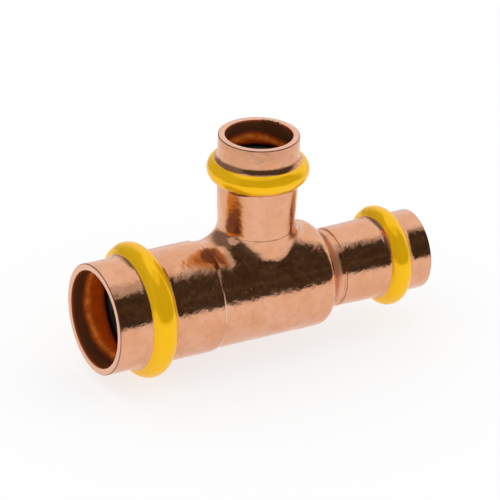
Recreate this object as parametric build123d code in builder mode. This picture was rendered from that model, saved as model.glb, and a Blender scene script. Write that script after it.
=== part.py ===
"""Reducing press tee for copper pipe: a 22 mm inlet, a 15 mm outlet in line with it and a 15 mm branch.

Millimetres. X runs along the run from the inlet (-X) to the outlet (+X) and Z along the branch.
The origin is the point where the centre lines of the run and the branch cross.
"""

import os
from math import cos, hypot, radians, sin
from typing import NamedTuple

from build123d import *

os.makedirs("parts", exist_ok=True)

# 22 mm inlet socket
inlet_mouth = 40.5  # centre lines to the mouth
inlet_depth = 24.0  # mouth to the pipe stop
inlet_bore = 11.1  # radius
inlet_wall = 1.55
inlet_tube = 12.72  # outer radius between the bead and the crease
inlet_bead_depth = 11.0  # mouth to the middle of the bead
inlet_seal_section = 3.2  # diameter of the seal's round section
inlet_bead_root = 1.15  # fillet at the bead's foot
inlet_chamber_lip = 2.2  # rounding at the seal chamber's lips
inlet_band_front = 3.05  # lacquer, from the middle of the bead towards the mouth
inlet_band_rear = 3.3  # and away from it

# 15 mm sockets: outlet and branch
outlet_mouth = 41.1
branch_mouth = 37.05
small_depth = 22.0
small_bore = 7.6
small_wall = 1.53
small_bead_depth = 8.15
small_seal_section = 2.75
small_bead_root = 1.05
small_chamber_lip = 2.0
outlet_tube = 9.2
branch_tube = 9.1
outlet_band_front = 2.8
outlet_band_rear = 2.7
branch_band_front = 2.45
branch_band_rear = 2.35

# what all three sockets share
bead_wall = 1.15  # copper over the seal, thinned by forming the bead
seal_nip = 0.15  # how far a seal stands into the pipe's way
seal_clearance = 0.05  # between a seal and its chamber
band_skin = 0.1  # thickness of the lacquer
rim_round = 0.2  # both edges of a mouth

# tee body
body_radius = 12.25
body_wall = 1.6
body_end = 15.45  # centre lines to the end face beside the neck
body_shoulder = 2.8
end_face_land = 0.2  # flat ring between the shoulder and the neck's round
inlet_crease = 14.4  # centre lines to the crease that ends the inlet's tube
crease_step = 0.12
crease_taper = 1.4

# neck between the body and the outlet
neck_radius = 7.9
neck_depth = 0.85  # end face to the narrowest ring
neck_flare = 1.3  # narrowest ring to the land
neck_land = 8.75
neck_bore = 6.45

# foot of the branch
foot_radius = 8.7
foot_land = 0.25  # straight length left above the junction's fillet
shoulder_land = 0.05  # and between that fillet and the shoulder
branch_bore = 7.0
junction_fillet = 3.9
foot_crease = 14.8  # centre lines to the crease round the foot
foot_crease_depth = 0.08
foot_crease_section = 0.2  # radius of the round groove's section
foot_crease_sweep = 120  # degrees, in front and behind, until the fillet takes over


class Socket(NamedTuple):
    """One press socket, with places along its centre line and radii from it."""

    name: str
    plane: Plane  # profile plane: along the centre line, then out from it
    axis: Axis
    bead: float  # middle of the bead and of the seal
    ring: float  # radius that the middle of the seal's section runs on
    section: float  # diameter of that section
    root: float  # fillet at the bead's foot
    lip: float  # rounding at the chamber's lips
    before: float  # outer radius on the bead's lower side along the line
    after: float  # and on its upper side
    band_from: float
    band_to: float

    @property
    def chamber(self):
        return self.section / 2 + seal_clearance

    @property
    def crest(self):
        return self.chamber + bead_wall

    @property
    def reach(self):
        """Half the length of tube that a bead and its two foot fillets take up."""
        return self.crest + self.root


def branch_plane_at(azimuth):
    """Profile plane of the branch, at an azimuth in degrees about it."""
    turn = radians(azimuth)
    return Plane(origin=(0, 0, 0), x_dir=(0, 0, 1), z_dir=(-sin(turn), cos(turn), 0))


run_plane = Plane.XZ
branch_plane = branch_plane_at(0)

inlet_bead = -inlet_mouth + inlet_bead_depth
outlet_bead = outlet_mouth - small_bead_depth
branch_bead = branch_mouth - small_bead_depth
inlet_collar = inlet_bore + inlet_wall
small_collar = small_bore + small_wall
small_ring = small_bore + small_seal_section / 2 - seal_nip

inlet = Socket(
    name="inlet",
    plane=run_plane,
    axis=Axis.X,
    bead=inlet_bead,
    ring=inlet_bore + inlet_seal_section / 2 - seal_nip,
    section=inlet_seal_section,
    root=inlet_bead_root,
    lip=inlet_chamber_lip,
    before=inlet_collar,
    after=inlet_tube,
    band_from=inlet_bead - inlet_band_front,
    band_to=inlet_bead + inlet_band_rear,
)
outlet = Socket(
    name="outlet",
    plane=run_plane,
    axis=Axis.X,
    bead=outlet_bead,
    ring=small_ring,
    section=small_seal_section,
    root=small_bead_root,
    lip=small_chamber_lip,
    before=outlet_tube,
    after=small_collar,
    band_from=outlet_bead - outlet_band_rear,
    band_to=outlet_bead + outlet_band_front,
)
branch = Socket(
    name="branch",
    plane=branch_plane,
    axis=Axis.Z,
    bead=branch_bead,
    ring=small_ring,
    section=small_seal_section,
    root=small_bead_root,
    lip=small_chamber_lip,
    before=branch_tube,
    after=small_collar,
    band_from=branch_bead - branch_band_rear,
    band_to=branch_bead + branch_band_front,
)

# Places and radii that follow from the sizes above
inlet_stop = -inlet_mouth + inlet_depth
outlet_stop = outlet_mouth - small_depth
branch_stop = branch_mouth - small_depth
neck_ring = body_end + neck_depth
neck_land_start = neck_ring + neck_flare
end_face_foot = body_radius - body_shoulder - end_face_land
body_bore = body_radius - body_wall
cavity_end = body_end - body_wall
cavity_shoulder = body_shoulder - body_wall
foot_fillet = min(junction_fillet, body_end - body_shoulder - shoulder_land - foot_radius)
foot_top = body_radius + foot_fillet + foot_land
inner_fillet = min(foot_fillet - body_wall, (branch_stop - body_bore) / 2)


def corner(sketch, along, radius):
    """The sketch's vertex at that place along the centre line and that radius."""
    return sketch.vertices().sort_by_distance((along, radius))[0]


def bulge(sketch, socket, arc, root):
    """Adds a round bead to the outline of a tube and fillets the two corners at its foot."""
    with Locations((socket.bead, socket.ring)):
        Circle(arc)
    feet = sketch.vertices().filter_by(
        lambda v: abs(hypot(v.X - socket.bead, v.Y - socket.ring) - arc) < 1e-4
    )
    fillet(feet, root)


# Tee body: one drawn copper tube, its outside first
with BuildPart() as tee_body:
    with BuildSketch(run_plane) as run_outline:
        with BuildLine():
            Polyline(
                (-inlet_mouth, 0),
                (-inlet_mouth, inlet_collar),
                (inlet_bead, inlet_collar),
                (inlet_bead, inlet_tube),
                (-inlet_crease, inlet_tube),
                (-inlet_crease, inlet_tube - crease_step),
                (-inlet_crease + crease_taper, body_radius),
                (body_end, body_radius),
                (body_end, end_face_foot),
            )
            Spline(
                (body_end, end_face_foot),
                (neck_ring, neck_radius),
                (neck_land_start, neck_land),
                tangents=((0, -1), (1, 0)),
            )
            Polyline(
                (neck_land_start, neck_land),
                (outlet_stop, neck_land),
                (outlet_stop, neck_land + crease_step),
                (outlet_bead - outlet.reach, outlet_tube),
                (outlet_bead, outlet_tube),
                (outlet_bead, small_collar),
                (outlet_mouth, small_collar),
                (outlet_mouth, 0),
                (-inlet_mouth, 0),
            )
        make_face()
        fillet(corner(run_outline, body_end, body_radius), body_shoulder)
        bulge(run_outline, inlet, inlet.crest, inlet.root)
        bulge(run_outline, outlet, outlet.crest, outlet.root)
    revolve(axis=Axis.X)
    with BuildSketch(branch_plane) as branch_outline:
        with BuildLine():
            Polyline(
                (0, 0),
                (0, foot_radius),
                (foot_top, foot_radius),
                (branch_bead - branch.reach, branch_tube),
                (branch_bead, branch_tube),
                (branch_bead, small_collar),
                (branch_mouth, small_collar),
                (branch_mouth, 0),
                (0, 0),
            )
        make_face()
        bulge(branch_outline, branch, branch.crest, branch.root)
    revolve(axis=Axis.Z)
    junction = tee_body.edges().filter_by(
        lambda e: e.geom_type not in (GeomType.CIRCLE, GeomType.LINE) and e.center().Z > 0
    )
    fillet(junction, foot_fillet)
    for middle in (-90, 90):
        with BuildSketch(branch_plane_at(middle - foot_crease_sweep / 2)):
            with Locations((foot_crease, foot_radius - foot_crease_depth + foot_crease_section)):
                Circle(foot_crease_section)
        revolve(axis=Axis.Z, revolution_arc=foot_crease_sweep, mode=Mode.SUBTRACT)
    # the inside: sockets, pipe stops, seal chambers and the waterway between them
    with BuildSketch(run_plane) as run_hollow:
        with BuildLine():
            Polyline(
                (-inlet_mouth, 0),
                (-inlet_mouth, inlet_bore),
                (inlet_stop, inlet_bore),
                (inlet_stop, body_bore),
                (cavity_end, body_bore),
                (cavity_end, neck_bore),
                (outlet_stop, neck_bore),
                (outlet_stop, small_bore),
                (outlet_mouth, small_bore),
                (outlet_mouth, 0),
                (-inlet_mouth, 0),
            )
        make_face()
        fillet(corner(run_hollow, cavity_end, body_bore), cavity_shoulder)
        bulge(run_hollow, inlet, inlet.chamber, inlet.lip)
        bulge(run_hollow, outlet, outlet.chamber, outlet.lip)
    revolve(axis=Axis.X, mode=Mode.SUBTRACT)
    with BuildSketch(branch_plane) as branch_hollow:
        with BuildLine():
            Polyline(
                (0, 0),
                (0, branch_bore),
                (branch_stop, branch_bore),
                (branch_stop, small_bore),
                (branch_mouth, small_bore),
                (branch_mouth, 0),
                (0, 0),
            )
        make_face()
        bulge(branch_hollow, branch, branch.chamber, branch.lip)
    revolve(axis=Axis.Z, mode=Mode.SUBTRACT)
    inner_junction = tee_body.edges().filter_by(
        lambda e: e.geom_type not in (GeomType.CIRCLE, GeomType.LINE)
        and abs(hypot((e @ 0.3).X, (e @ 0.3).Y) - branch_bore) < 1e-3
    )
    fillet(inner_junction, inner_fillet)
    mouths = tee_body.faces().sort_by(Axis.X)[0].edges()
    mouths += tee_body.faces().sort_by(Axis.X)[-1].edges()
    mouths += tee_body.faces().sort_by(Axis.Z)[-1].edges()
    fillet(mouths, rim_round)
tee_body.part.label = "tee_body"
export_step(tee_body.part, "parts/tee_body.step")

# Seals: a rubber ring in the chamber of each socket
for socket in (inlet, outlet, branch):
    with BuildPart() as seal:
        with BuildSketch(socket.plane):
            with Locations((socket.bead, socket.ring)):
                Circle(socket.section / 2)
        revolve(axis=socket.axis)
    seal.part.label = f"{socket.name}_seal"
    export_step(seal.part, f"parts/{socket.name}_seal.step")


def bead_outline(socket, skin):
    """Outline of a bead and the tube at both sides, grown by a skin, down to the centre line."""
    start = socket.bead - socket.reach
    stop = socket.bead + socket.reach
    with BuildSketch() as outline:
        with BuildLine():
            Polyline(
                (start, 0),
                (start, socket.before + skin),
                (socket.bead, socket.before + skin),
                (socket.bead, socket.after + skin),
                (stop, socket.after + skin),
                (stop, 0),
                (start, 0),
            )
        make_face()
        bulge(outline, socket, socket.crest + skin, socket.root - skin)
    return outline.sketch


# Lacquer bands: the yellow ring on each bead that marks the fitting for gas
for socket in (inlet, outlet, branch):
    with BuildPart() as band:
        with BuildSketch(socket.plane):
            add(bead_outline(socket, band_skin))
            add(bead_outline(socket, 0), mode=Mode.SUBTRACT)
            with Locations(((socket.band_from + socket.band_to) / 2, socket.ring)):
                Rectangle(socket.band_to - socket.band_from, 4 * socket.crest, mode=Mode.INTERSECT)
        revolve(axis=socket.axis)
    band.part.label = f"{socket.name}_band"
    export_step(band.part, f"parts/{socket.name}_band.step")
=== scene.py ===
import bmesh
import bpy
import numpy as np
from mathutils import Matrix, Vector


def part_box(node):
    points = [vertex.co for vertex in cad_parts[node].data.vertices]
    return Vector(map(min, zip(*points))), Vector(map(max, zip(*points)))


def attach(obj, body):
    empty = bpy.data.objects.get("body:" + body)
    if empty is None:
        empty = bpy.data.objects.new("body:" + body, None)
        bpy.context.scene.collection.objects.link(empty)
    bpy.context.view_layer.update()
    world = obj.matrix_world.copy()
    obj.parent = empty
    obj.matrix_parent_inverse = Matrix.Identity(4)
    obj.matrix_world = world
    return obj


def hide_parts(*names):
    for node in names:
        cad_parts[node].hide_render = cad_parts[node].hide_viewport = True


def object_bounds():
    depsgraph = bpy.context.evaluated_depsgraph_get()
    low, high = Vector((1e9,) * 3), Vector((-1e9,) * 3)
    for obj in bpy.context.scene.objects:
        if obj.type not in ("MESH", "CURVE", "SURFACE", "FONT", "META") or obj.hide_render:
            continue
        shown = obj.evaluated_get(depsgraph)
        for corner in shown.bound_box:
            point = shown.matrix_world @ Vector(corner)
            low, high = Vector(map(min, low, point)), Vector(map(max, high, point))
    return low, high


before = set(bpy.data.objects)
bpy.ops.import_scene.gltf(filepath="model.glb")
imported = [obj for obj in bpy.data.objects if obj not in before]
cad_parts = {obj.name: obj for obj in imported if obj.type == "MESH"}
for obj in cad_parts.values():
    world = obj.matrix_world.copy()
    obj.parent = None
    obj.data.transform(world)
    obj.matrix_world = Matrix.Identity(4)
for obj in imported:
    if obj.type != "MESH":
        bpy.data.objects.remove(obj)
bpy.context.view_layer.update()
mm = 0.001
print("frame loaded:", ", ".join(sorted(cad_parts)))

view = dict(
    azimuth=-30.067,  # degrees from the front (-Y), positive towards +X
    elevation=26.424,
    roll=1.91,
    distance=1062.19 * mm,
    lens=340.4,
    slideRight=-0.898 * mm,  # how far the line of sight passes beside the centre lines' crossing
    slideUp=7.52 * mm,
)


def addCamera():
    # back points from the object to the camera; right and up are the view's own, turned by its roll
    az, el, roll = np.radians([view["azimuth"], view["elevation"], view["roll"]])
    back = np.array([np.sin(az) * np.cos(el), -np.cos(az) * np.cos(el), np.sin(el)])
    level = np.array([np.cos(az), np.sin(az), 0.0])
    upright = np.cross(back, level)
    right = np.cos(roll) * level + np.sin(roll) * upright
    up = np.cos(roll) * upright - np.sin(roll) * level
    place = back * view["distance"] + right * view["slideRight"] + up * view["slideUp"]
    data = bpy.data.cameras.new("studioCamera")
    data.lens = view["lens"]
    data.sensor_width = 36
    camera = bpy.data.objects.new("studioCamera", data)
    turned = Matrix([right.tolist(), up.tolist(), back.tolist()]).transposed()
    camera.matrix_world = Matrix.Translation(Vector(place.tolist())) @ turned.to_4x4()
    bpy.context.scene.collection.objects.link(camera)
    bpy.context.scene.camera = camera


addCamera()
bpy.context.scene.view_settings.view_transform = "Standard"
print("camera placed")


def arc(centre, radius, start, stop, count):
    # points of a circle from one angle to another in degrees, both ends included
    turn = np.radians(np.linspace(start, stop, count))
    return np.column_stack((centre[0] + radius * np.cos(turn), centre[1] + radius * np.sin(turn)))


def straight(start, stop, count=2):
    # points spaced evenly along a line, both ends included; more than two only divide its faces
    return np.linspace(start, stop, count)


def partTurn(first, last, spread, share):
    # the arrow at a share of the turn between two arrows of one length that stand spread apart
    return (np.sin((1 - share) * spread) * first + np.sin(share * spread) * last) / np.sin(spread)


def rounded(before, corner, after, radius, count=4):
    # the arc that replaces a corner: it touches both sides, radius / tan(half the angle) from the corner
    before, corner, after = (np.array(p, float) for p in (before, corner, after))
    a = (before - corner) / np.linalg.norm(before - corner)
    b = (after - corner) / np.linalg.norm(after - corner)
    half = np.arccos(np.clip(a @ b, -1, 1)) / 2
    centre = corner + (a + b) / np.linalg.norm(a + b) * radius / np.sin(half)
    first = corner + a * radius / np.tan(half) - centre
    last = corner + b * radius / np.tan(half) - centre
    share = np.linspace(0, 1, count)[:, None]
    return centre + partTurn(first, last, np.pi - 2 * half, share)


def beadOutline(socket, arcRadius, roots, before, after):
    # a circle about the seal's section that runs into the tube's line on both sides through circles
    # of the roots' radii, whose centres lie arcRadius + root away from the bead's own
    middle, ring = socket["middle"], socket["ring"]
    stretches = []
    for side, tube, root in ((-1, before, roots[0]), (1, after, roots[1])):
        rise = tube + root - ring
        run = np.sqrt((arcRadius + root) ** 2 - rise**2)
        lean = np.degrees(np.arctan2(rise, run))
        foot = arc((middle + side * run, tube + root), root, -90, -90 - side * (90 - lean), 7)
        stretches.append((foot, 90 - side * (90 - lean)))
    (leftFoot, leftLean), (rightFoot, rightLean) = stretches
    crest = arc((middle, ring), arcRadius, leftLean, rightLean, 27)
    return joined(leftFoot, crest, rightFoot[::-1])


def outlineNormals(outline):
    # the outline's slope at every point, turned a quarter to the left
    slope = np.gradient(outline, axis=0)
    slope /= np.linalg.norm(slope, axis=1)[:, None]
    return np.column_stack((-slope[:, 1], slope[:, 0]))


def joined(*stretches):
    # one row of points from several, without those that repeat their neighbour
    points = np.vstack(stretches)
    keep = np.linalg.norm(np.diff(points, axis=0), axis=1) > 1e-7
    return points[np.append(keep, True)]


def mergedMesh(name, points, faces, closed=True):
    # points that coincide become one, and a closed mesh has its faces turned outwards
    mesh = bpy.data.meshes.new(name)
    mesh.from_pydata(points.reshape(-1, 3).tolist(), [], faces.reshape(-1, 4).tolist())
    work = bmesh.new()
    work.from_mesh(mesh)
    bmesh.ops.remove_doubles(work, verts=work.verts, dist=1e-6)
    if closed:
        bmesh.ops.recalc_face_normals(work, faces=work.faces)
    work.to_mesh(mesh)
    work.free()
    return mesh


def makePiece(name, points, faces, material, nodes):
    mesh = mergedMesh(name, points, faces)
    mesh.polygons.foreach_set("use_smooth", np.ones(len(mesh.polygons), bool))
    mesh.materials.append(material)
    piece = bpy.data.objects.new(name, mesh)
    bpy.context.scene.collection.objects.link(piece)
    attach(piece, "root")
    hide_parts(*nodes)
    print(name, "made:", len(mesh.polygons), "faces")
    return piece


def gridFaces(rows, columns, closedRows, closedColumns):
    # quads between neighbouring rows and columns of a grid of points, row by row
    i = np.arange(rows if closedRows else rows - 1)[:, None]
    j = np.arange(columns if closedColumns else columns - 1)[None, :]
    i, j = np.broadcast_arrays(i, j)
    row, nextRow = i * columns, (i + 1) % rows * columns
    across = (j + 1) % columns
    return np.stack((row + j, row + across, nextRow + across, nextRow + j), -1)


def turnedAboutRun(along, out, angles):
    # turned about X by an angle measured from +Z: (along, out * sin, out * cos)
    return np.stack((along + 0 * angles, out * np.sin(angles), out * np.cos(angles)), -1)


def turnedAboutBranch(along, out, angles):
    # turned about Z by an angle measured from +X: (out * cos, out * sin, along)
    return np.stack((out * np.cos(angles), out * np.sin(angles), along + 0 * angles), -1)


def socketSizes(name, axis, mouth):
    # the bead's place and size, read from the seal that it holds and the band that is painted on it
    low, high = (np.array(corner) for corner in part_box(name + "_seal"))
    paintLow, paintHigh = (np.array(corner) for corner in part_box(name + "_band"))
    section = high[axis] - low[axis]
    chamber = section / 2 + tubes["sealClearance"]
    return dict(
        axis=axis,
        mouth=mouth,
        middle=(high[axis] + low[axis]) / 2,
        section=section,
        ring=high[1] - section / 2,
        chamber=chamber,  # radius of the round that the seal lies in
        crest=chamber + tubes["beadWall"],  # and of the bead over it
        paintFrom=paintLow[axis],
        paintTo=paintHigh[axis],
        paintCrest=paintHigh[1],
    )


tubes = dict(
    beadWall=1.15 * mm,
    sealClearance=0.05 * mm,
    rimRound=0.2 * mm,
    inletBore=11.1 * mm,
    inletWall=1.55 * mm,
    inletTube=12.72 * mm,
    inletRoots=(2.0 * mm, 1.15 * mm),  # towards the mouth and towards the body
    inletLips=(2.2 * mm, 2.2 * mm),
    inletDepth=24.0 * mm,
    smallBore=7.6 * mm,
    smallWall=1.53 * mm,
    smallRoots=(1.05 * mm, 1.9 * mm),  # towards the body and towards the mouth
    smallLips=(2.0 * mm, 2.0 * mm),
    smallDepth=22.0 * mm,
    outletTube=9.2 * mm,
    branchTube=9.1 * mm,
)
bodyLow, bodyHigh = (np.array(corner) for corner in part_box("tee_body"))
inlet = socketSizes("inlet", 0, bodyLow[0])
outlet = socketSizes("outlet", 0, bodyHigh[0])
branch = socketSizes("branch", 2, bodyHigh[2])
sockets = dict(inlet=inlet, outlet=outlet, branch=branch)

tee = dict(
    radius=12.25 * mm,
    wall=1.6 * mm,
    end=15.45 * mm,
    shoulder=2.8 * mm,
    endLand=0.2 * mm,
    crease=-14.4 * mm,
    creaseStep=0.25 * mm,
    creaseTaper=1.4 * mm,
    creaseRound=0.1 * mm,
    creaseLip=0.3 * mm,
    neckRadius=7.9 * mm,
    neckDepth=0.85 * mm,
    neckFlare=1.3 * mm,
    neckLand=8.75 * mm,
    neckBore=6.45 * mm,
    footRadius=8.7 * mm,
    footLand=0.25 * mm,
    branchBore=7.0 * mm,
    junctionRound=3.9 * mm,
    junctionSwell=5.3 * mm,  # how much softer the corner is at the front and back
    innerRound=2.2 * mm,
    footCrease=14.8 * mm,
    footCreaseDepth=0.03 * mm,
    footCreaseHalf=0.16 * mm,
    footCreaseFades=0.4 * mm,  # room below the crease that it takes to come out in full
    creaseShows=28,  # degrees from the top where the body's crease is there in full
    creaseFades=10,  # and over how many degrees it comes out
    around=180,  # columns round the run
    windowSteps=44,  # columns along the window that the branch leaves through
    windowTurn=38,  # columns to each side of the top that the window takes
)


def runOutside():
    # inlet mouth to outlet mouth, in two parts with the window's straight stretch between them; the
    # neck falls by a quarter of an ellipse and rises by the smooth step 3 t^2 - 2 t^3
    rim, collar = tubes["rimRound"], tubes["inletBore"] + tubes["inletWall"]
    crease, tube, body = tee["crease"], tubes["inletTube"], tee["radius"]
    lip, low = crease + tee["creaseLip"], tube - tee["creaseStep"]
    sharply, softly = tee["creaseRound"] / 2, tee["creaseRound"] * 4
    taperEnd = (crease + tee["creaseTaper"], body)
    before = joined(
        arc((inlet["mouth"] + rim, collar - rim), rim, 180, 90, 5),
        beadOutline(inlet, inlet["crest"], tubes["inletRoots"], collar, tube),
        straight((inlet["middle"] + 5 * mm, tube), (crease - 1 * mm, tube), 8),
        arc((crease, tube - tee["creaseLip"]), tee["creaseLip"], 90, 18, 8),
        rounded((lip, low + 0.05 * mm), (lip, low), taperEnd, sharply),
        rounded((crease, low), taperEnd, (0, body), softly),
    )
    start, stop = before[-1, 0] + 0.1 * mm, tee["end"] - tee["shoulder"]
    window = straight((start, body), (stop, body), tee["windowSteps"] + 1)

    foot = body - tee["shoulder"] - tee["endLand"]
    ring, narrow, land = tee["end"] + tee["neckDepth"], tee["neckRadius"], tee["neckLand"]
    turn = np.radians(np.linspace(0, 90, 9))[:, None]
    rise = np.linspace(0, 1, 9)[:, None]
    neckIn = np.hstack((ring - tee["neckDepth"] * np.cos(turn), foot - (foot - narrow) * np.sin(turn)))
    widened = narrow + (land - narrow) * rise**2 * (3 - 2 * rise)
    neckOut = np.hstack((ring + tee["neckFlare"] * rise, widened))
    pipeStop = outlet["mouth"] - tubes["smallDepth"]
    step, collar = land + tee["creaseStep"], tubes["smallBore"] + tubes["smallWall"]
    taperEnd = (outlet["middle"] - outlet["crest"] - tubes["smallRoots"][0], tubes["outletTube"])
    after = joined(
        arc((stop, body - tee["shoulder"]), tee["shoulder"], 90, 0, 12)[1:],
        neckIn,
        neckOut,
        rounded((ring, land), (pipeStop, land), (pipeStop, step), sharply),
        rounded((pipeStop, land), (pipeStop, step), taperEnd, sharply),
        straight((pipeStop + 1 * mm, step + 0.03 * mm), taperEnd, 8),
        beadOutline(outlet, outlet["crest"], tubes["smallRoots"], tubes["outletTube"], collar),
        arc((outlet["mouth"] - rim, collar - rim), rim, 90, 0, 5),
    )
    return before, window, after


def runInside():
    # outlet mouth back to inlet mouth, with the window's stretch between the two parts
    rim, bore = tubes["rimRound"], tubes["smallBore"]
    pipeStop = outlet["mouth"] - tubes["smallDepth"]
    cavity, inner = tee["end"] - tee["wall"], tee["radius"] - tee["wall"]
    corner = tee["shoulder"] - tee["wall"]
    before = joined(
        arc((outlet["mouth"] - rim, bore + rim), rim, 0, -90, 4),
        beadOutline(outlet, outlet["chamber"], tubes["smallLips"], bore, bore)[::-1],
        straight((pipeStop + 4 * mm, bore), (pipeStop, bore), 3),
        straight((pipeStop, tee["neckBore"]), (cavity, tee["neckBore"]), 3),
        arc((cavity - corner, inner - corner), corner, 0, 90, 5)[:-1],
    )
    start, stop = cavity - corner, -tee["end"] + tee["shoulder"]
    window = straight((start, inner), (stop, inner), tee["windowSteps"] + 1)
    bore = tubes["inletBore"]
    pipeStop = inlet["mouth"] + tubes["inletDepth"]
    after = joined(
        straight((pipeStop, inner), (pipeStop, bore)),
        straight((pipeStop - 1 * mm, bore), (pipeStop - 6 * mm, bore), 4),
        beadOutline(inlet, inlet["chamber"], tubes["inletLips"], bore, bore)[::-1],
        arc((inlet["mouth"] + rim, bore + rim), rim, -90, -180, 4),
    )
    return before, window, after


def contacts(runRadius, branchRadius, ball, angles):
    # a ball that rolls in the corner between the run and the branch: its centre stays ball from both
    # tubes, and touches each on the line to that tube's axis
    out = branchRadius + ball
    height = np.sqrt((runRadius + ball) ** 2 - (out * np.sin(angles)) ** 2)
    centre = np.stack((out * np.cos(angles), out * np.sin(angles), height), -1)
    onRun = centre.copy()
    onRun[:, 1:] *= np.reshape(runRadius / (runRadius + ball), (-1, 1))
    onBranch = np.stack((branchRadius * np.cos(angles), branchRadius * np.sin(angles), height), -1)
    return centre, onRun, onBranch


def sweptRound(centre, onRun, onBranch, ball, count):
    # the ball's surface between its two points of contact: both directions mixed at an even turn
    ball = np.reshape(ball, (-1, 1))
    first, last = (onRun - centre) / ball, (onBranch - centre) / ball
    spread = np.arccos(np.clip((first * last).sum(-1), -1, 1))[:, None]
    share = np.linspace(0, 1, count)[1:, None, None]
    return centre + ball * partTurn(first, last, spread, share)


def windowPatch(edge, onRun, count):
    # rows between the window's edge and the ball's contact, even in along, angle and distance from the
    # run's line; the distance is the run's radius but where the edge's own differs
    def flat(points):
        out = np.hypot(points[..., 1], points[..., 2])
        return np.stack((points[..., 0], np.arctan2(points[..., 1], points[..., 2]), out), -1)

    share = np.linspace(0, 1, count)[:, None, None]
    along, angle, out = np.moveaxis((1 - share) * flat(edge) + share * flat(onRun), -1, 0)
    return np.stack((along, out * np.sin(angle), out * np.cos(angle)), -1)


def footSleeve(onBranch, angles):
    # the branch's foot from the ball's contact up to one level ring, with a shallow crease round its
    # front and back, a parabola in section; the rows gather at it where there is room
    contact = onBranch[:, 2]
    top = tee["radius"] + tee["junctionRound"] + tee["footLand"]
    half, level = tee["footCreaseHalf"], tee["footCrease"]
    room = np.clip((level - half - contact) / tee["footCreaseFades"], 0, 1)
    lower = (1 - room) * (contact + 0.35 * (top - contact)) + room * (level - half)
    upper = (1 - room) * (contact + 0.65 * (top - contact)) + room * (level + half)
    knots = np.stack((contact, lower, upper, 0 * contact + top))
    sixths, quarters = np.linspace(0, 1, 7)[1:], np.linspace(0, 1, 5)[1:]
    steps = np.concatenate((sixths, 1 + sixths, 2 + quarters))
    whole = np.minimum(steps.astype(int), 2)
    share = (steps - whole)[:, None]
    height = (1 - share) * knots[whole] + share * knots[whole + 1]
    dip = tee["footCreaseDepth"] * room * np.clip(1 - ((height - level) / half) ** 2, 0, 1)
    out = tee["footRadius"] - dip
    return np.stack((out * np.cos(angles), out * np.sin(angles), height), -1)


def branchRings(angles):
    # the branch's outline from its foot over the mouth and down inside, turned about the branch's line
    rim, bore = tubes["rimRound"], tubes["smallBore"]
    collar, tube = bore + tubes["smallWall"], tubes["branchTube"]
    top = tee["radius"] + tee["junctionRound"] + tee["footLand"]
    beadFoot = branch["middle"] - branch["crest"] - tubes["smallRoots"][0]
    pipeStop = branch["mouth"] - tubes["smallDepth"]
    outline = joined(
        straight((top, tee["footRadius"]), (beadFoot, tube), 8)[1:],
        beadOutline(branch, branch["crest"], tubes["smallRoots"], tube, collar),
        arc((branch["mouth"] - rim, collar - rim), rim, 90, 0, 5),
        arc((branch["mouth"] - rim, bore + rim), rim, 0, -90, 5),
        beadOutline(branch, branch["chamber"], tubes["smallLips"], bore, bore)[::-1],
        straight((pipeStop + 5 * mm, bore), (pipeStop, bore), 4),
        straight((pipeStop, tee["branchBore"]), (pipeStop - 1 * mm, tee["branchBore"])),
    )
    return turnedAboutBranch(outline[:, :1], outline[:, 1:], angles)


forming = dict(
    waveHeight=0.011 * mm,
    waves=((5.3, 1.1), (3.7, 2.9), (8.1, 4.2)),  # length in mm and phase
    quietEnd=2.0 * mm,  # the waves die out this close to a mouth
    crotch=(-13.3 * mm, 0.0, 12.9 * mm),  # where the branch's foot runs up against the inlet's tube
    crotchSize=(2.4 * mm, 4.2 * mm, 2.2 * mm),
    crotchPull=(-0.20 * mm, 0.0, 0.34 * mm),
    dimple=(-14.0 * mm, -4.7 * mm, 11.5 * mm),  # the pit where the crease runs out under the foot
    dimpleSize=0.9 * mm,
    dimplePull=(0.03 * mm, 0.07 * mm, -0.16 * mm),
    knock=(-8.2 * mm, -4.3 * mm, 14.2 * mm),  # a knock that raised the foot's round
    knockSize=1.1 * mm,
    knockPull=(-0.10 * mm, -0.06 * mm, 0.02 * mm),
)


def bell(points, middle, size):
    # e to the power of minus the squared distance from the middle, in units of the bell's own size
    return np.exp(-(((points - middle) / size) ** 2).sum(-1, keepdims=True))


def handForm(points):
    # slow waves of the drawn metal: for each axis the product of two sines of the place, summed over
    # three wave lengths; then the crotch, the dimple and the knock, each a bell round its middle
    moved = np.zeros_like(points)
    for length, phase in forming["waves"]:
        turn = points * (2 * np.pi / (length * mm)) + phase
        moved += np.sin(turn[..., [1, 2, 0]]) * np.cos(turn[..., [2, 0, 1]] * 0.8)
    gap = np.minimum(points[..., 0] - inlet["mouth"], outlet["mouth"] - points[..., 0])
    gap = np.minimum(gap, branch["mouth"] - points[..., 2])
    moved *= forming["waveHeight"] * np.clip(gap / forming["quietEnd"], 0, 1)[..., None]
    moved += bell(points, forming["crotch"], forming["crotchSize"]) * forming["crotchPull"]
    moved += bell(points, forming["dimple"], forming["dimpleSize"]) * forming["dimplePull"]
    moved += bell(points, forming["knock"], forming["knockSize"]) * forming["knockPull"]
    return points + moved


def fadeCrease(points):
    # near the top the crease gives way to an even taper between the inlet's tube and the body, whose
    # radius follows the smooth step 3 t^2 - 2 t^3
    x, y, z = np.moveaxis(points, -1, 0)
    start, stop = tee["crease"] - 1 * mm, tee["crease"] + tee["creaseTaper"] + 0.3 * mm
    out = np.hypot(y, z)
    share = np.clip((x - start) / (stop - start), 0, 1)
    even = tubes["inletTube"] + (tee["radius"] - tubes["inletTube"]) * share * share * (3 - 2 * share)
    turn = np.degrees(np.abs(np.arctan2(y, z)))
    outer = (x > start) * (x < stop) * (out > tee["radius"] - 1e-6)
    near = outer * np.clip((tee["creaseShows"] - turn) / tee["creaseFades"], 0, 1)
    scale = 1 + near * (even / np.maximum(out, 1e-9) - 1)
    return np.stack((x, y * scale, z * scale), -1)


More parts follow.
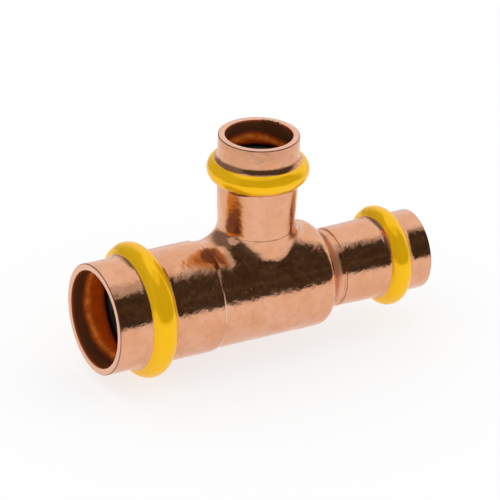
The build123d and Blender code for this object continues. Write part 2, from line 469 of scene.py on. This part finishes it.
tornLip = dict(
    start=20,  # degrees round the branch's mouth, from the outlet's side
    stop=60,
    push=0.28 * mm,
    drop=0.6,  # share of the push that also goes down
    reachAlong=0.35 * mm,
    reachOut=0.3 * mm,
)


def burr(rings, angles):
    # the bore's lip is pushed outward and down over a short arc, by a sum of sines of the angle that is
    # cut off at 0 and 1, times a bell round the lip
    turn = np.degrees(angles)
    window = np.clip((turn - tornLip["start"]) / 5, 0, 1) * np.clip((tornLip["stop"] - turn) / 6, 0, 1)
    jag = 0.5 + 0.3 * np.sin(turn * 0.9 + 1) + 0.35 * np.sin(turn * 2.3) * np.cos(turn * 0.37)
    out = np.hypot(rings[..., 0], rings[..., 1])
    along = (rings[..., 2] - branch["mouth"] + tubes["rimRound"]) / tornLip["reachAlong"]
    across = (out - tubes["smallBore"]) / tornLip["reachOut"]
    push = tornLip["push"] * window * np.clip(jag, 0, 1) * np.exp(-(along**2) - across**2)
    moved = rings.copy()
    moved[..., :2] *= (1 + push / np.maximum(out, 1e-9))[..., None]
    moved[..., 2] -= push * tornLip["drop"]
    return moved


def teeBody():
    # the run is one closed outline, outside and back inside, turned about X, and both its skins have a
    # window at the top; a second grid goes ring by ring from the outer window up the branch, over its
    # mouth and down to the inner window
    outside, outsideWindow, outsideRest = runOutside()
    inside, insideWindow, insideRest = runInside()
    outline = np.vstack((outside, outsideWindow, outsideRest, inside, insideWindow, insideRest))
    around, turn, steps = tee["around"], tee["windowTurn"], tee["windowSteps"]
    spread = np.arange(around) * 2 * np.pi / around
    runPoints = fadeCrease(turnedAboutRun(outline[:, :1], outline[:, 1:], spread))
    firstOut = len(outside)
    firstIn = firstOut + len(outsideWindow) + len(outsideRest) + len(inside)
    quads = gridFaces(len(outline), around, True, True)
    shown = np.ones(quads.shape[:2], bool)
    for first in (firstOut, firstIn):
        shown[first:first + steps, :turn] = False
        shown[first:first + steps, -turn:] = False

    # the window's edge, once round from the top of its +X side
    sideUp, sideDown = np.arange(turn), np.arange(-turn, 0)
    back, forth = np.arange(steps, 0, -1), np.arange(steps)
    edge = (
        (0 * sideUp + steps, sideUp),
        (back, 0 * back + turn),
        (0 * sideUp, turn - sideUp),
        (0 * sideUp, -sideUp),
        (forth, 0 * forth - turn),
        (0 * sideDown + steps, sideDown),
    )
    alongEdge, aroundEdge = np.hstack(edge)
    outerEdge = runPoints[firstOut + alongEdge, aroundEdge % around]
    innerEdge = runPoints[firstIn + steps - alongEdge, aroundEdge % around]

    # each point of the edge goes to an angle round the branch; the ball grows with its sine squared
    ball, inBall = tee["junctionRound"], tee["innerRound"]
    sideways = np.arctan2(outerEdge[:, 1], outerEdge[:, 2])
    widest = np.arcsin((tee["footRadius"] + ball) / (tee["radius"] + ball))
    angles = np.arctan2(sideways / widest, outerEdge[:, 0] / (tee["footRadius"] + ball))
    ball = ball + tee["junctionSwell"] * np.sin(angles) ** 2
    middle, onRun, onBranch = contacts(tee["radius"], tee["footRadius"], ball, angles)
    inRadius = tee["radius"] - tee["wall"]
    inMiddle, inOnRun, inOnBranch = contacts(inRadius, tee["branchBore"], inBall, angles)
    rows = np.vstack((
        windowPatch(outerEdge, onRun, 9),
        sweptRound(middle, onRun, onBranch, ball, 15),
        footSleeve(onBranch, angles),
        burr(branchRings(angles), angles),
        np.linspace(inOnBranch + [0, 0, 0.5 * mm], inOnBranch, 3),
        sweptRound(inMiddle, inOnRun, inOnBranch, inBall, 8)[::-1],
        windowPatch(innerEdge, inOnRun, 7)[::-1],
    ))
    branchQuads = gridFaces(rows.shape[0], rows.shape[1], False, True).reshape(-1, 4)
    points = np.vstack((runPoints.reshape(-1, 3), rows.reshape(-1, 3)))
    faces = np.vstack((quads[shown], branchQuads + len(outline) * around))
    return handForm(points), faces


def addNodeTo(tree, kind, inputs=(), **settings):
    # inputs are sockets to link or fixed values, by the input's name or number
    node = tree.nodes.new(kind)
    for key, value in settings.items():
        setattr(node, key, value)
    for key, value in dict(inputs).items():
        if isinstance(value, bpy.types.NodeSocket):
            tree.links.new(value, node.inputs[key])
        else:
            node.inputs[key].default_value = value
    return node


def figured(tree, operation, *values):
    # one operation on one to three values
    return addNodeTo(tree, "ShaderNodeMath", dict(enumerate(values)), operation=operation).outputs["Value"]


def figuredVector(tree, operation, *values):
    # the same on vectors: three of the operations give a value, the others a vector
    node = addNodeTo(tree, "ShaderNodeVectorMath", dict(enumerate(values)), operation=operation)
    return node.outputs["Value" if operation in ("LENGTH", "DISTANCE", "DOT_PRODUCT") else "Vector"]


def product(tree, first, second):
    return figured(tree, "MULTIPLY", first, second)


def anyOf(tree, masks):
    most = masks[0]
    for mask in masks[1:]:
        most = figured(tree, "MAXIMUM", most, mask)
    return most


def ranged(tree, value, start, stop, low=0.0, high=1.0, **settings):
    # the value carried from (start, stop) to (low, high), and held at the ends
    inputs = {"Value": value, "From Min": start, "From Max": stop, "To Min": low, "To Max": high}
    return addNodeTo(tree, "ShaderNodeMapRange", inputs, **settings).outputs["Result"]


def within(tree, value, low, high, soft):
    # 1 between low and high, falling to 0 over a soft distance outside them
    rising = ranged(tree, value, low - soft, low)
    return product(tree, rising, ranged(tree, value, high, high + soft, 1.0, 0.0))


def mixedValue(tree, share, first, second):
    return addNodeTo(tree, "ShaderNodeMix", {0: share, 2: first, 3: second}).outputs[0]


def mixedColour(tree, share, first, second):
    mix = addNodeTo(tree, "ShaderNodeMix", {0: share, 6: first, 7: second}, data_type="RGBA")
    return mix.outputs[2]


def noise(tree, place, scale, detail, roughness=0.5):
    inputs = dict(Vector=place, Scale=scale, Detail=detail, Roughness=roughness)
    return addNodeTo(tree, "ShaderNodeTexNoise", inputs).outputs["Fac"]


def startMaterial(name):
    material = bpy.data.materials.new(name)
    material.use_nodes = True
    tree = material.node_tree
    return material, tree, tree.nodes["Principled BSDF"]


copper = dict(
    colour=(0.79, 0.415, 0.26, 1),
    warmColour=(0.75, 0.36, 0.20, 1),
    warmScale=170,  # noise scales: cells in a metre
    dullColour=(0.55, 0.24, 0.12, 1),
    dullScale=520,
    roughness=(0.05, 0.14),
    roughScale=420,
    spotRoughness=0.3,
    spotScale=900,
    dentScale=420,
    dentHeight=0.10 * mm,
    grainScale=1150,
    grainHeight=0.03 * mm,
    raggedScale=1500,  # the edge of the painted highlight at the knock
    speckScale=2600,  # the dark specks of the nick
    depthScale=240,  # where along a bore its glow starts
    patchScale=380,  # patches in that glow
    glintScale=700,  # and in its ridge
    cutReach=0.16 * mm,  # how far from a mouth's plane a face still counts as cut
    cutColour=(0.81, 0.46, 0.32, 1),
    cutRoughness=0.32,
    shadeLineColour=(0.30, 0.13, 0.075, 1),  # painted shade: the dark line along a mouth's outer edge, and in the creases
    edgeStart=0.24 * mm,  # inwards from that edge, where its line starts and where it is full
    edgeFull=0.14 * mm,
    # painted shade: how dark the crease lines are
    creaseShadeShare=0.6,
    stepShadeLines=(0.1 * mm, -0.45 * mm),  # two thin painted shade lines at the outlet's pipe stop
    creaseHighlightColour=(0.95, 0.70, 0.55, 1),  # painted highlight: a bright line on the ridge beside the body's crease
    creaseHighlightRoughness=0.4,
    creaseHighlightHeights=(-0.3 * mm, 5.0 * mm),
    boreShadeColour=(0.11, 0.04, 0.016, 1),  # painted shade just behind a mouth
    # painted light: the glowing orange of a bore's wall
    boreLightColour=(0.78, 0.125, 0.004, 1),
    innerMetal=0.32,
    innerRoughness=0.26,
    boreHighlightColour=(1.0, 0.31, 0.045, 1),  # painted highlight: the band of a bore's wall that glows most
    ridgeMetal=0.0,
    ridgeDepth=5.0 * mm,
    branchDepth=1.08,  # how much sooner the branch's bore lights up than the others
    neckDull=0.35,
    neckRoughness=0.4,
    # painted highlight on the knock beside the branch's foot
    knockHighlightColour=(0.88, 0.46, 0.29, 1),
    knockHighlightStretch=(0.75, 0.5, 1.0),  # below 1 it runs longer that way
    nickColour=(0.05, 0.02, 0.012, 1),
    nick=(6.0 * mm, 5.2 * mm),  # the torn place on the branch's mouth, from the branch's line
    blurRoughness=0.2,
    blurAt=(-15.0 * mm, -4.0 * mm, 12.5 * mm),  # the crotch, worked by hand and less bright
)


def aboutLine(tree, place, normal, keep):
    # the distance from a centre line, and how far the surface faces away from it: 1 outwards, -1 inwards
    flat = figuredVector(tree, "MULTIPLY", place, keep)
    out = figuredVector(tree, "LENGTH", flat)
    unit = figuredVector(tree, "NORMALIZE", flat)
    return out, figuredVector(tree, "DOT_PRODUCT", unit, normal)


def surfaceOf(tree):
    # what the masks ask: the place, the distance from both centre lines, how the surface faces them,
    # and whether it is aloft, which is above the body and near the branch's line
    surface = addNodeTo(tree, "ShaderNodeTexCoord").outputs
    place, normal = surface["Object"], surface["Normal"]
    parts = addNodeTo(tree, "ShaderNodeSeparateXYZ", {0: place}).outputs
    runOut, runFacing = aboutLine(tree, place, normal, (0, 1, 1))
    branchOut, branchFacing = aboutLine(tree, place, normal, (1, 1, 0))
    beside = ranged(tree, branchOut, 11.5 * mm, 12 * mm, 1.0, 0.0)
    return dict(
        place=place,
        x=parts["X"],
        y=parts["Y"],
        z=parts["Z"],
        runOut=runOut,
        runFacing=runFacing,
        branchOut=branchOut,
        branchFacing=branchFacing,
        aloft=product(tree, ranged(tree, parts["Z"], 11 * mm, 11.5 * mm), beside),
    )


def mouthMasks(tree, at):
    # the cut faces at the three mouths, the painted shade line along their outer edges, and how deep the
    mouths = (
        (at["x"], inlet["mouth"], at["runOut"], tubes["inletBore"], tubes["inletWall"]),
        (at["x"], outlet["mouth"], at["runOut"], tubes["smallBore"], tubes["smallWall"]),
        (at["z"], branch["mouth"], at["branchOut"], tubes["smallBore"], tubes["smallWall"]),
    )
    cuts, edges, depths = [], [], []
    reach = copper["cutReach"]
    for along, mouth, out, bore, wall in mouths:
        near = within(tree, along, mouth - reach, mouth + reach, 0.05 * mm)
        edge = bore + wall
        # painted shade: a dark line just inside each mouth's outer edge
        shadeLine = ranged(tree, out, edge - copper["edgeStart"], edge - copper["edgeFull"])
        cuts.append(product(tree, near, ranged(tree, out, bore + 0.02 * mm, bore + 0.12 * mm)))
        edges.append(product(tree, near, shadeLine))
        depths.append(figured(tree, "ABSOLUTE", figured(tree, "SUBTRACT", along, mouth)))
    return anyOf(tree, cuts), anyOf(tree, edges), depths


def innerMask(tree, at):
    # inner surfaces face their centre line: the branch's own where they are aloft, else the run's
    inBranch = product(tree, at["aloft"], ranged(tree, at["branchFacing"], -0.05, -0.25))
    level = figured(tree, "SUBTRACT", 1.0, at["aloft"])
    return anyOf(tree, [inBranch, product(tree, level, ranged(tree, at["runFacing"], -0.05, -0.25))])


def creaseShadeAndHighlight(tree, at):
    # painted shade: dark lines in the crease round the foot, at the foot of the body's crease and at the
    # outlet's pipe stop; and a painted highlight on the ridge just inside the body's crease
    onRun = ranged(tree, at["runFacing"], 0.2, 0.3)
    level, foot = tee["footCrease"], tee["crease"] + tee["creaseLip"]
    pipeStop = outlet["mouth"] - tubes["smallDepth"]
    lines = [
        product(tree, at["aloft"], within(tree, at["z"], level - 0.04 * mm, level + 0.04 * mm, 0.08 * mm)),
        product(tree, onRun, within(tree, at["x"], foot - 0.05 * mm, foot + 0.05 * mm, 0.07 * mm)),
    ]
    for gap in copper["stepShadeLines"]:
        low = pipeStop + gap - 0.03 * mm
        lines.append(product(tree, onRun, within(tree, at["x"], low, low + 0.06 * mm, 0.07 * mm)))
    # painted shade in the creases
    dark = product(tree, anyOf(tree, lines), copper["creaseShadeShare"])
    # painted highlight: a bright, rougher strip just inside the body's crease
    creaseHighlight = within(tree, at["x"], foot + 0.12 * mm, foot + 0.24 * mm, 0.08 * mm)
    creaseHighlight = product(tree, creaseHighlight, within(tree, at["z"], *copper["creaseHighlightHeights"], 1.6 * mm))
    return dark, product(tree, ranged(tree, at["runFacing"], 0.2, 0.3, 0.0, 0.8), creaseHighlight)


def paintedBoreLight(tree, at, depths):
    # painted light on a bore's wall: a painted highlight at the very lip, painted shade behind it, then a
    # painted glowing ridge, which comes nearest the mouth on the two flanks, and a deeper red beyond
    place = at["place"]
    depth = figured(tree, "MINIMUM", depths[0], depths[1])
    depth = mixedValue(tree, at["aloft"], depth, product(tree, depths[2], copper["branchDepth"]))
    uneven = figured(tree, "MULTIPLY_ADD", noise(tree, place, copper["depthScale"], 3), 1.6 * mm, depth)
    flank = figured(tree, "ABSOLUTE", at["y"])
    uneven = product(tree, uneven, ranged(tree, flank, 3 * mm, 9 * mm, 0.75, 1.0))
    patchy = ranged(tree, noise(tree, place, copper["patchScale"], 5), 0.3, 0.62, 0.7, 1.0)
    glow = product(tree, ranged(tree, uneven, 3.4 * mm, 4.8 * mm), patchy)
    start = copper["ridgeDepth"]
    glints = ranged(tree, noise(tree, place, copper["glintScale"], 4), 0.35, 0.6, 0.35, 1.0)
    ridge = product(tree, within(tree, uneven, start, start + 0.1 * mm, 1.0 * mm), patchy)
    ridge = product(tree, ridge, glints)
    lip = ranged(tree, depth, 0.3 * mm, 0.7 * mm, 0.45, 0.0)
    tint = mixedColour(tree, anyOf(tree, [glow, lip]), copper["boreShadeColour"], copper["boreLightColour"])
    return mixedColour(tree, ridge, tint, copper["boreHighlightColour"]), ridge


def knockHighlightMask(tree, at):
    # a painted highlight: a spot with a ragged edge about the knock
    gap = figuredVector(tree, "SUBTRACT", at["place"], forming["knock"])
    gap = figuredVector(tree, "LENGTH", figuredVector(tree, "MULTIPLY", gap, copper["knockHighlightStretch"]))
    ragged = noise(tree, at["place"], copper["raggedScale"], 5, 0.7)
    gap = figured(tree, "MULTIPLY_ADD", ragged, 1.9 * mm, gap)
    return ranged(tree, gap, 1.6 * mm, 1.85 * mm, 0.85, 0.0)


def nickMask(tree, at, depth):
    # dark specks along the bore's lip, close to the torn place and to the mouth
    gap = figuredVector(tree, "DISTANCE", at["place"], (*copper["nick"], branch["mouth"]))
    specks = ranged(tree, noise(tree, at["place"], copper["speckScale"], 3), 0.45, 0.5)
    specks = product(tree, specks, ranged(tree, gap, 2.0 * mm, 2.8 * mm, 1.0, 0.0))
    specks = product(tree, specks, ranged(tree, depth, 0.25 * mm, 0.4 * mm, 1.0, 0.0))
    bore = tubes["smallBore"]
    return product(tree, specks, within(tree, at["branchOut"], bore - 0.1 * mm, bore + 0.35 * mm, 0.1 * mm))


def blurMask(tree, at):
    # the crotch, and the branch's foot as far as its fillet reaches
    gap = figuredVector(tree, "DISTANCE", at["place"], copper["blurAt"])
    foot = product(tree, at["aloft"], ranged(tree, at["branchOut"], 9.4 * mm, 10 * mm, 1.0, 0.0))
    return anyOf(tree, [ranged(tree, gap, 4 * mm, 7 * mm, 1.0, 0.0), foot])


def copperMaterial():
    material, tree, shader = startMaterial("drawnCopper")
    at = surfaceOf(tree)
    place = at["place"]
    cut, edge, depths = mouthMasks(tree, at)
    inner = innerMask(tree, at)
    creaseShade, creaseHighlight = creaseShadeAndHighlight(tree, at)
    boreLight, ridge = paintedBoreLight(tree, at, depths)
    knockHighlight = knockHighlightMask(tree, at)
    neck = within(tree, at["x"], tee["end"] - 0.3 * mm, tee["end"] + 2.3 * mm, 0.5 * mm)

    warm = ranged(tree, noise(tree, place, copper["warmScale"], 4), 0.35, 0.65)
    dull = ranged(tree, noise(tree, place, copper["dullScale"], 6, 0.62), 0.5, 0.8, 0.0, 0.5)
    tint = mixedColour(tree, warm, copper["colour"], copper["warmColour"])
    for share, colour in (
        (dull, copper["dullColour"]),
        # painted shade in the creases
        (creaseShade, copper["shadeLineColour"]),
        # painted highlight beside the body's crease
        (creaseHighlight, copper["creaseHighlightColour"]),
        # painted light and shade on the bores' walls
        (inner, boreLight),
        # painted highlight on the knock
        (knockHighlight, copper["knockHighlightColour"]),
        (cut, copper["cutColour"]),
        # painted shade line along the mouths' outer edges
        (edge, copper["shadeLineColour"]),
        (nickMask(tree, at, depths[2]), copper["nickColour"]),
    ):
        tint = mixedColour(tree, share, tint, colour)
    tree.links.new(tint, shader.inputs["Base Color"])

    unpolished = anyOf(tree, [inner, knockHighlight, creaseHighlight, product(tree, neck, copper["neckDull"])])
    metal = ranged(tree, unpolished, 0.0, 1.0, 1.0, copper["innerMetal"])
    metal = mixedValue(tree, product(tree, inner, ridge), metal, copper["ridgeMetal"])
    tree.links.new(metal, shader.inputs["Metallic"])

    rough = ranged(tree, noise(tree, place, copper["roughScale"], 5), 0.3, 0.7, *copper["roughness"])
    spots = ranged(tree, noise(tree, place, copper["spotScale"], 6, 0.65), 0.5, 0.72)
    for share, roughness in (
        (spots, copper["spotRoughness"]),
        (blurMask(tree, at), copper["blurRoughness"]),
        (neck, copper["neckRoughness"]),
        (anyOf(tree, [inner, knockHighlight]), copper["innerRoughness"]),
        (creaseHighlight, copper["creaseHighlightRoughness"]),
        (cut, copper["cutRoughness"]),
    ):
        rough = mixedValue(tree, share, rough, roughness)
    tree.links.new(rough, shader.inputs["Roughness"])

    dents = noise(tree, place, copper["dentScale"], 2)
    dents = addNodeTo(tree, "ShaderNodeBump", dict(Distance=copper["dentHeight"], Height=dents))
    grain = noise(tree, place, copper["grainScale"], 5, 0.6)
    bump = dict(Distance=copper["grainHeight"], Height=grain, Normal=dents.outputs["Normal"])
    tree.links.new(addNodeTo(tree, "ShaderNodeBump", bump).outputs["Normal"], shader.inputs["Normal"])
    return material


points, faces = teeBody()
makePiece("teeBody", points, faces, copperMaterial(), ["tee_body"])


seals = dict(
    sides=32,
    columns=160,
    fit=0.999,  # share of the seal's own section, so that its box isn't passed
    colour=(0.012, 0.014, 0.012, 1),
    roughness=0.35,
)


def sealRing(socket):
    # a circle of the seal's section turned about the socket's centre line
    radius = socket["section"] / 2 * seals["fit"]
    section = arc((socket["middle"], socket["ring"]), radius, 0, 360, seals["sides"] + 1)[:-1]
    angles = np.arange(seals["columns"]) * 2 * np.pi / seals["columns"]
    turned = turnedAboutRun if socket["axis"] == 0 else turnedAboutBranch
    points = turned(section[:, :1], section[:, 1:], angles)
    return points, gridFaces(seals["sides"], seals["columns"], True, True)


def rubberMaterial():
    material, tree, shader = startMaterial("sealRubber")
    shader.inputs["Base Color"].default_value = seals["colour"]
    shader.inputs["Roughness"].default_value = seals["roughness"]
    return material


rubber = rubberMaterial()
for name, socket in sockets.items():
    points, faces = sealRing(socket)
    makePiece(name + "Seal", points, faces, rubber, [name + "_seal"])


bands = dict(
    columns=220,
    rows=40,
    film=0.02 * mm,  # thickness left at a painted edge
    sink=0.03 * mm,  # how far the underside lies inside the copper
    wander=0.05 * mm,  # how far a painted edge strays
    phase=dict(inlet=0.4, outlet=2.2, branch=3.7),  # so that no two bands stray alike
    outletBare=0.45 * mm,  # bare copper above the outlet's rear edge
    colour=(0.95, 0.52, 0.006, 1),
    shine=(1.0, 0.75, 0.2, 1),
    metal=0.36,
    roughness=0.14,
    coat=0.1,
)
bandTubes = dict(  # the tube's radius before and after each bead, and the bead's roots
    inlet=(tubes["inletBore"] + tubes["inletWall"], tubes["inletTube"], tubes["inletRoots"]),
    outlet=(tubes["outletTube"], tubes["smallBore"] + tubes["smallWall"], tubes["smallRoots"]),
    branch=(tubes["branchTube"], tubes["smallBore"] + tubes["smallWall"], tubes["smallRoots"]),
)


def paintEdges(name, socket, angles):
    # both painted edges along the tube: a fixed place and a few slow and quick waves round it, inwards
    phase = bands["phase"][name]
    strayed = []
    for k in (0, 1):
        stray = 0.5 + 0.25 * np.sin(2 * angles + phase + k) + 0.15 * np.sin(7 * angles + 3 * phase)
        strayed.append(bands["wander"] * (stray + 0.1 * np.sin(19 * angles + phase * 5 + k)))
    start, stop = socket["paintFrom"] + strayed[0], socket["paintTo"] - strayed[1]
    if name == "outlet":
        turn = np.angle(np.exp(1j * (angles + 0.6)))  # from the bare place, between -pi and pi
        start = start + bands["outletBare"] * np.exp(-((turn / 0.8) ** 2))
    return start, stop


def paintBand(name, socket):
    # a film on the bead: the bead's outline between the two edges, moved out by a thickness that
    # falls to the film's own at both edges as the sixth power of the distance from the middle
    before, after, roots = bandTubes[name]
    outline = beadOutline(socket, socket["crest"], roots, before, after)
    normals = outlineNormals(outline)
    length = np.append(0, np.cumsum(np.linalg.norm(np.diff(outline, axis=0), axis=1)))
    angles = np.arange(bands["columns"]) * 2 * np.pi / bands["columns"]
    edges = [np.interp(edge, outline[:, 0], length) for edge in paintEdges(name, socket, angles)]
    share = np.linspace(0, 1, bands["rows"])[:, None]
    place = edges[0] + share * (edges[1] - edges[0])
    bare = [np.interp(place, length, outline[:, k]) for k in (0, 1)]
    lean = [np.interp(place, length, normals[:, k]) for k in (0, 1)]
    turned = turnedAboutRun if socket["axis"] == 0 else turnedAboutBranch

    def laid(height):
        return turned(bare[0] + height * lean[0], bare[1] + height * lean[1], angles)

    skin = socket["paintCrest"] - socket["ring"] - socket["crest"] - bands["sink"]
    height = bands["film"] + (skin - bands["film"]) * (1 - np.abs(2 * share - 1) ** 6)
    points = handForm(np.vstack((laid(height), laid(-bands["sink"])[::-1])))
    return points, gridFaces(2 * bands["rows"], bands["columns"], True, True)


def lacquerMaterial():
    material, tree, shader = startMaterial("yellowLacquer")
    shader.inputs["Base Color"].default_value = bands["colour"]
    shader.inputs["Metallic"].default_value = bands["metal"]
    shader.inputs["Roughness"].default_value = bands["roughness"]
    shader.inputs["Specular Tint"].default_value = bands["shine"]
    shader.inputs["Coat Weight"].default_value = bands["coat"]
    return material


lacquer = lacquerMaterial()
for name, socket in sockets.items():
    points, faces = paintBand(name, socket)
    makePiece(name + "Band", points, faces, lacquer, [name + "_band"])


studio = dict(
    floorRadius=0.6,
    floorColour=(0.3, 0.3, 0.3, 1),
    floorRoughness=0.8,
    floorGlow=0.70,
    floorNear=0.11,  # from here on the floor's reflection dims
    floorFar=0.42,
    floorFarGlow=0.1,
    darkHeading=-87,  # degrees from +X: the open, unlit side of the room
    darkNear=0.42,  # cosine of the turn from that heading where the dark is full
    darkFar=-0.05,  # and where it ends
    darkColour=(0.030, 0.024, 0.017, 1),
    shapeColour=(0.12, 0.098, 0.056, 1),  # vague things that stand in the dark
    shapeScale=8,
    lampFrom=0.83,  # sine of the height where the overhead light starts to show over the dark
    lampTo=0.91,
    lampColour=(0.62, 0.62, 0.62, 1),
    wallHeading=147,  # a grey wall behind and to the left
    wallNear=0.85,
    wallFar=0.15,
    wallColour=(0.22, 0.22, 0.22, 1),
    lightColour=(1.0, 1.0, 1.0, 1),
)


def floorMaterial():
    # a white glow that hides the floor from view; mirrored in the copper, it dims with the distance
    material, tree, shader = startMaterial("paleFloor")
    shader.inputs["Base Color"].default_value = studio["floorColour"]
    shader.inputs["Roughness"].default_value = studio["floorRoughness"]
    shader.inputs["Specular IOR Level"].default_value = 0
    shader.inputs["Emission Color"].default_value = studio["lightColour"]
    place = addNodeTo(tree, "ShaderNodeTexCoord").outputs["Object"]
    reach = figuredVector(tree, "LENGTH", place)
    glow, farGlow = studio["floorGlow"], studio["floorFarGlow"]
    dimmed = ranged(tree, reach, studio["floorNear"], studio["floorFar"], glow, farGlow)
    mirrored = addNodeTo(tree, "ShaderNodeLightPath").outputs["Is Glossy Ray"]
    tree.links.new(mixedValue(tree, mirrored, glow, dimmed), shader.inputs["Emission Strength"])
    return material


def addFloor():
    # a flat disc: rings of a fan from the middle outwards
    turn = np.arange(96) * 2 * np.pi / 96
    out = np.array([[0], [0.1], [0.3], [1.0]]) * studio["floorRadius"]
    points = turnedAboutBranch(np.full_like(out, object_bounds()[0].z), out, turn)
    faces = gridFaces(len(out), len(turn), False, True)
    mesh = mergedMesh("floor", points, faces, closed=False)
    mesh.materials.append(floorMaterial())
    floor = bpy.data.objects.new("floor", mesh)
    bpy.context.scene.collection.objects.link(floor)


def sideOfRoom(tree, heading, towards, near, far):
    # 1 where the level direction is within near of the heading, falling to 0 at far, both as cosines
    turn = np.radians(towards)
    facing = figuredVector(tree, "DOT_PRODUCT", heading, (np.cos(turn), np.sin(turn), 0))
    return ranged(tree, facing, far, near, interpolation_type="SMOOTHSTEP")


def addRoom():
    # white light all round; in reflections the room has a dark side, a grey wall and a light overhead
    world = bpy.data.worlds.new("studioRoom")
    world.use_nodes = True
    tree = world.node_tree
    bpy.context.scene.world = world
    direction = addNodeTo(tree, "ShaderNodeTexCoord").outputs["Generated"]
    heading = figuredVector(tree, "NORMALIZE", figuredVector(tree, "MULTIPLY", direction, (1, 1, 0)))
    height = addNodeTo(tree, "ShaderNodeSeparateXYZ", {0: direction}).outputs["Z"]
    lamp = (studio["lampFrom"], studio["lampTo"])
    below = ranged(tree, height, *lamp, 1.0, 0.0, interpolation_type="SMOOTHSTEP")
    wall = sideOfRoom(tree, heading, studio["wallHeading"], studio["wallNear"], studio["wallFar"])
    dark = sideOfRoom(tree, heading, studio["darkHeading"], studio["darkNear"], studio["darkFar"])
    walls = mixedColour(tree, product(tree, wall, below), studio["lightColour"], studio["wallColour"])
    vague = ranged(tree, noise(tree, direction, studio["shapeScale"], 6, 0.65), 0.42, 0.7)
    unlit = mixedColour(tree, vague, studio["darkColour"], studio["shapeColour"])
    front = mixedColour(tree, below, studio["lampColour"], unlit)
    room = mixedColour(tree, dark, walls, front)
    mirrored = addNodeTo(tree, "ShaderNodeLightPath").outputs["Is Glossy Ray"]
    shown = mixedColour(tree, mirrored, studio["lightColour"], room)
    tree.links.new(shown, tree.nodes["Background"].inputs["Color"])


addFloor()
addRoom()
print("studio set")
